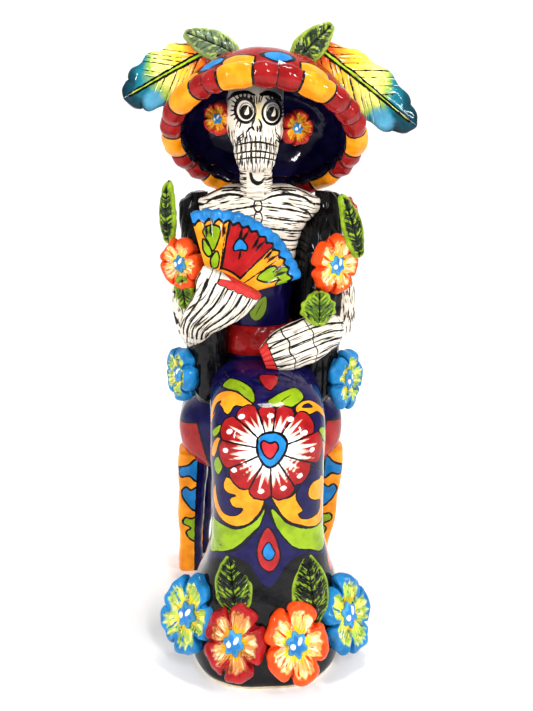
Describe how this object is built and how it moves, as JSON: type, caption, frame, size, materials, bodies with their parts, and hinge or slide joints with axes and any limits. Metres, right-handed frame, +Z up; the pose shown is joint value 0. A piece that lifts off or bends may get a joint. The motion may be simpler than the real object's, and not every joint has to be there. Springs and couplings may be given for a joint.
{
  "type": "seated catrina figurine",
  "caption": "Hand-built glazed pottery figure of a seated skeleton lady with a fan, a shawl, a flowered skirt over her knees and a wide plumed hat, on a stool.",
  "frame": {"origin": "middle of the figure's bounding box, on the table it stands on", "axes": "+Z up along the figure's height, -Y the way she faces, +X towards her left side"},
  "size_m": [0.2324, 0.25, 0.5046],
  "materials": {
    "cobalt_glaze": "glossy cobalt blue glaze, nearly black where it is thick",
    "black_glaze": "glossy black glaze",
    "bone_glaze": "cream glaze with black brush strokes",
    "red_glaze": "glossy brick red glaze",
    "orange_glaze": "glossy orange glaze",
    "scarlet_glaze": "glossy orange-red glaze with yellow brush strokes",
    "sky_glaze": "glossy sky blue glaze",
    "leaf_glaze": "glossy yellow-green glaze with dark veins",
    "teal_glaze": "glossy teal glaze that runs to yellow and orange"
  },
  "bodies": {
    "root": {"skirt": "cobalt_glaze", "seat": "cobalt_glaze", "hat_shell": "cobalt_glaze", "shawl_left": "black_glaze", "shawl_right": "black_glaze", "shawl_back": "black_glaze", "torso": "bone_glaze", "neck": "bone_glaze", "skull": "bone_glaze", "right_hand": "bone_glaze", "left_hand": "bone_glaze", "right_arm": "bone_glaze", "left_arm": "bone_glaze", "belt": "red_glaze", "hat_rim": "red_glaze", "ear_flower_right": "red_glaze", "ear_flower_left": "red_glaze", "back_flower_left": "red_glaze", "hem_flower_right": "red_glaze", "fan": "orange_glaze", "leg_front_right": "orange_glaze", "leg_front_left": "orange_glaze", "leg_rear_right": "orange_glaze", "leg_rear_left": "orange_glaze", "shoulder_flower_right": "scarlet_glaze", "shoulder_flower_left": "scarlet_glaze", "hem_flower_left": "scarlet_glaze", "hip_flower_right": "sky_glaze", "hip_flower_left": "sky_glaze", "hem_flower_far_right": "sky_glaze", "hem_flower_far_left": "sky_glaze", "ear_flower_right_eye": "sky_glaze", "ear_flower_left_eye": "sky_glaze", "back_flower_left_eye": "sky_glaze", "shoulder_flower_right_eye": "sky_glaze", "shoulder_flower_left_eye": "sky_glaze", "hip_flower_right_eye": "sky_glaze", "hip_flower_left_eye": "sky_glaze", "hem_flower_far_right_eye": "sky_glaze", "hem_flower_right_eye": "sky_glaze", "hem_flower_left_eye": "sky_glaze", "hem_flower_far_left_eye": "sky_glaze", "hat_leaf_right": "leaf_glaze", "hat_leaf_left": "leaf_glaze", "shoulder_leaf_right": "leaf_glaze", "shoulder_leaf_left": "leaf_glaze", "cuff_leaf_right": "leaf_glaze", "cuff_leaf_left": "leaf_glaze", "hem_leaf_right": "leaf_glaze", "hem_leaf_left": "leaf_glaze", "plume_right": "teal_glaze", "plume_left": "teal_glaze"}
  },
  "joints": []
}
